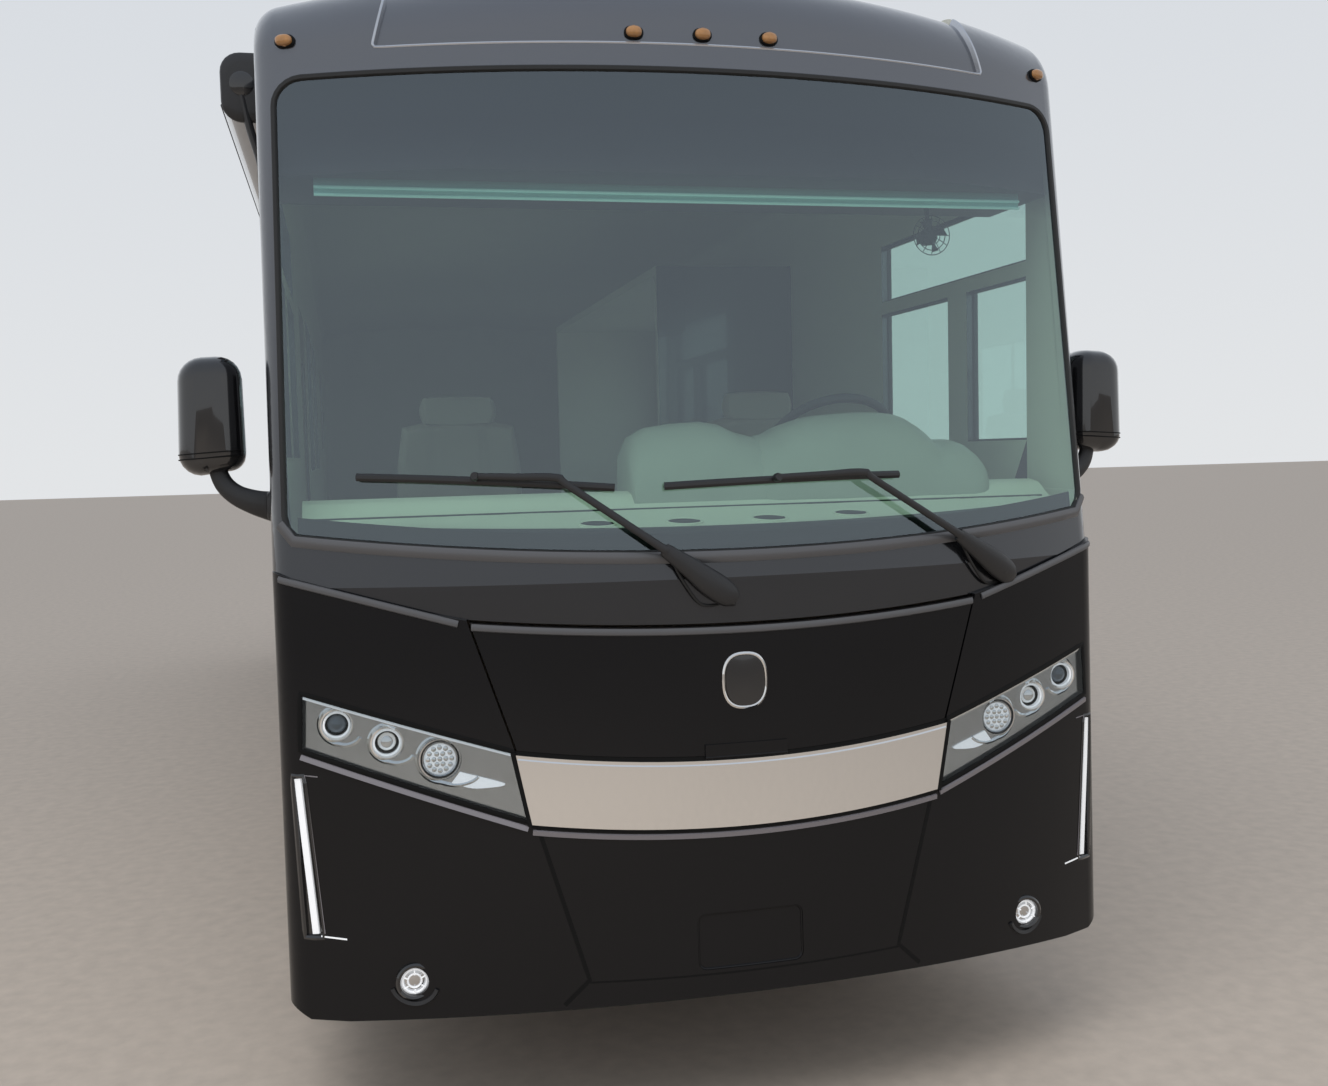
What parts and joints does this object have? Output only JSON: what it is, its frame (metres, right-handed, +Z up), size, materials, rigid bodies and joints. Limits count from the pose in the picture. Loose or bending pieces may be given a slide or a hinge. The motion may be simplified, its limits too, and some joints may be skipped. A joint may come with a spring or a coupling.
{
  "type": "motorhome",
  "caption": "Bus-style motorhome with a wide windscreen, hollow coach body, slide-out room, opening doors, lockers and nose panel, steered front wheels and dual rear wheels.",
  "frame": {"origin": "on the ground under the middle of the vehicle", "axes": "+Z up, the nose faces -Y, +X is the vehicle's left side"},
  "size_m": [3.078, 10.6858, 3.68],
  "materials": {
    "body_paint": "gloss metallic",
    "fascia_paint": "gloss",
    "roof_shell": "satin",
    "chrome": "mirror",
    "tinted_glass": "clear tint",
    "lamp_housing": "satin metallised",
    "amber_lens": "translucent amber",
    "red_lens": "translucent red",
    "black_plastic": "satin",
    "chassis_steel": "semi-gloss black",
    "floor_board": "matt",
    "cab_trim": "soft touch",
    "seat_leather": "fine grain",
    "cabinet_wood": "satin varnish",
    "steel_tube": "brushed",
    "polished_aluminium": "polished",
    "tyre": "matt"
  },
  "bodies": {
    "root": {"front_cap": "body_paint", "left_wall": "body_paint", "right_wall": "body_paint", "rear_cap": "body_paint", "awning": "body_paint", "fascia": "fascia_paint", "bumper_centre": "fascia_paint", "roof": "roof_shell", "roof_units": "roof_shell", "chrome_bar": "chrome", "windscreen": "tinted_glass", "left_windows": "tinted_glass", "right_windows": "tinted_glass", "headlamps": "lamp_housing", "running_lamps": "lamp_housing", "marker_lamps": "amber_lens", "tail_lamps": "red_lens", "mirrors": "black_plastic", "wipers": "black_plastic", "frame_rails": "chassis_steel", "crossmembers": "chassis_steel", "outriggers": "chassis_steel", "hitch_receiver": "chassis_steel", "front_axle": "chassis_steel", "rear_axle": "chassis_steel", "engine_block": "chassis_steel", "cabin_floor": "floor_board", "entry_steps": "floor_board", "lockers_left": "floor_board", "lockers_right": "floor_board", "dash": "cab_trim", "seats": "seat_leather", "overhead_cabinet": "cabinet_wood", "ladder": "steel_tube"},
    "knuckle_left": {"knuckle_left": "chassis_steel"},
    "knuckle_right": {"knuckle_right": "chassis_steel"},
    "tie_rod": {"tie_rod": "chassis_steel"},
    "steering_wheel": {"steering_wheel": "cab_trim"},
    "front_wheel_left": {"front_wheel_left": "polished_aluminium", "front_tyre_left": "tyre"},
    "front_wheel_right": {"front_wheel_right": "polished_aluminium", "front_tyre_right": "tyre"},
    "rear_wheel_left": {"rear_wheel_left": "polished_aluminium", "rear_tyres_left": "tyre"},
    "rear_wheel_right": {"rear_wheel_right": "polished_aluminium", "rear_tyres_right": "tyre"},
    "nose_door": {"nose_door": "fascia_paint"},
    "entry_door": {"entry_door": "body_paint", "entry_glass": "tinted_glass"},
    "engine_door": {"engine_door": "body_paint"},
    "slide_room": {"slide_room": "body_paint", "slide_windows": "tinted_glass"},
    "locker_door_left_front": {"locker_door_left_front": "body_paint"},
    "locker_door_left_middle": {"locker_door_left_middle": "body_paint"},
    "locker_door_left_rear": {"locker_door_left_rear": "body_paint"},
    "locker_door_right_front": {"locker_door_right_front": "body_paint"},
    "locker_door_right_middle": {"locker_door_right_middle": "body_paint"},
    "locker_door_right_rear": {"locker_door_right_rear": "body_paint"}
  },
  "joints": [
    {"name": "steer_left", "type": "hinge", "parent": "root", "child": "knuckle_left", "pos_m": [0.88, -3.4, 0.478], "axis": [0, 0, 1], "range_deg": [-38, 38]},
    {"name": "steer_right", "type": "hinge", "parent": "root", "child": "knuckle_right", "pos_m": [-0.88, -3.4, 0.478], "axis": [0, 0, 1], "range_deg": [-38, 38]},
    {"name": "tie_rod_pivot", "type": "hinge", "parent": "knuckle_left", "child": "tie_rod", "pos_m": [0.88, -3.2, 0.414], "axis": [0, 0, 1], "range_deg": [-38, 38]},
    {"name": "steering_wheel_turn", "type": "hinge", "parent": "root", "child": "steering_wheel", "pos_m": [0.62, -4.37, 1.985], "axis": [0, 0.6428, 0.766], "range_deg": [-690, 690]},
    {"name": "front_wheel_left_spin", "type": "hinge", "parent": "knuckle_left", "child": "front_wheel_left", "pos_m": [1.02, -3.4, 0.478], "axis": [1, 0, 0], "continuous": true},
    {"name": "front_wheel_right_spin", "type": "hinge", "parent": "knuckle_right", "child": "front_wheel_right", "pos_m": [-1.02, -3.4, 0.478], "axis": [1, 0, 0], "continuous": true},
    {"name": "rear_wheel_left_spin", "type": "hinge", "parent": "root", "child": "rear_wheel_left", "pos_m": [0.96, 1.883, 0.478], "axis": [1, 0, 0], "continuous": true},
    {"name": "rear_wheel_right_spin", "type": "hinge", "parent": "root", "child": "rear_wheel_right", "pos_m": [-0.96, 1.883, 0.478], "axis": [1, 0, 0], "continuous": true},
    {"name": "nose_door_drop", "type": "hinge", "parent": "root", "child": "nose_door", "pos_m": [0, -5.32798, 1.101], "axis": [1, 0, 0], "range_deg": [0, 80]},
    {"name": "locker_door_left_front_lift", "type": "hinge", "parent": "root", "child": "locker_door_left_front", "pos_m": [1.282, -2.08, 0.997], "axis": [0, -1, 0], "range_deg": [0, 85]},
    {"name": "locker_door_left_middle_lift", "type": "hinge", "parent": "root", "child": "locker_door_left_middle", "pos_m": [1.282, -0.74, 0.997], "axis": [0, -1, 0], "range_deg": [0, 85]},
    {"name": "locker_door_left_rear_lift", "type": "hinge", "parent": "root", "child": "locker_door_left_rear", "pos_m": [1.282, 0.6, 0.997], "axis": [0, -1, 0], "range_deg": [0, 85]},
    {"name": "locker_door_right_front_lift", "type": "hinge", "parent": "root", "child": "locker_door_right_front", "pos_m": [-1.282, -1.38, 0.997], "axis": [0, 1, 0], "range_deg": [0, 85]},
    {"name": "locker_door_right_middle_lift", "type": "hinge", "parent": "root", "child": "locker_door_right_middle", "pos_m": [-1.282, -0.32, 0.997], "axis": [0, 1, 0], "range_deg": [0, 85]},
    {"name": "locker_door_right_rear_lift", "type": "hinge", "parent": "root", "child": "locker_door_right_rear", "pos_m": [-1.282, 0.74, 0.997], "axis": [0, 1, 0], "range_deg": [0, 85]},
    {"name": "entry_door_swing", "type": "hinge", "parent": "root", "child": "entry_door", "pos_m": [-1.282, -2.697, 1.58], "axis": [0, 0, 1], "range_deg": [0, 95]},
    {"name": "engine_door_lift", "type": "hinge", "parent": "root", "child": "engine_door", "pos_m": [0, 5.247, 1.437], "axis": [1, 0, 0], "range_deg": [0, 85]},
    {"name": "slide_room_extend", "type": "slide", "parent": "root", "child": "slide_room", "axis": [1, 0, 0], "range_m": [0, 0.7]}
  ],
  "couplings": [
    {"joint": "steer_right", "follows": "steer_left", "ratio": 1},
    {"joint": "tie_rod_pivot", "follows": "steer_left", "ratio": -1},
    {"joint": "steering_wheel_turn", "follows": "steer_left", "ratio": 18}
  ]
}
